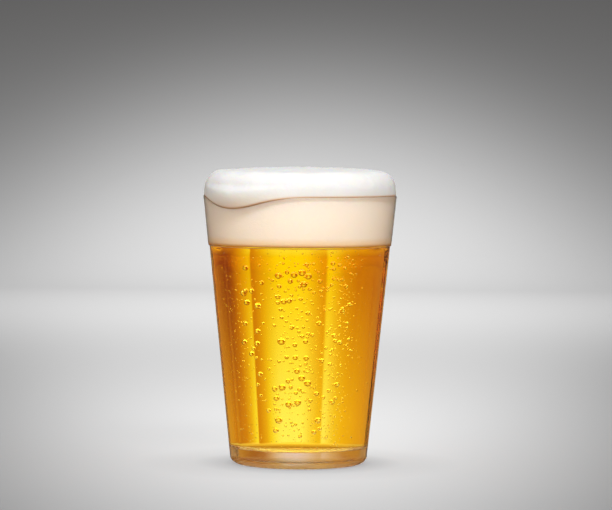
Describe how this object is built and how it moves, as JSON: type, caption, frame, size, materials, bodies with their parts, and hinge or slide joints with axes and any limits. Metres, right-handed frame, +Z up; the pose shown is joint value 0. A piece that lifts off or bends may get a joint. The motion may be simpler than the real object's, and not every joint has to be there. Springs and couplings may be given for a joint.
{
  "type": "pint of beer",
  "caption": "Panelled glass tumbler filled with golden lager, with a domed head of white foam that hangs over the rim at one side.",
  "frame": {"origin": "middle of the foot, on the table", "axes": "+Z up along the glass's axis; the front, -Y, has the overhanging foam 44 degrees towards -X"},
  "size_m": [0.0888, 0.0888, 0.1365],
  "materials": {
    "glass": "clear pressed soda-lime glass",
    "beer": "clear golden lager with bubbles",
    "foam": "fine white beer foam"
  },
  "bodies": {
    "root": {"glass": "glass", "beer": "beer", "foam": "foam"}
  },
  "joints": []
}
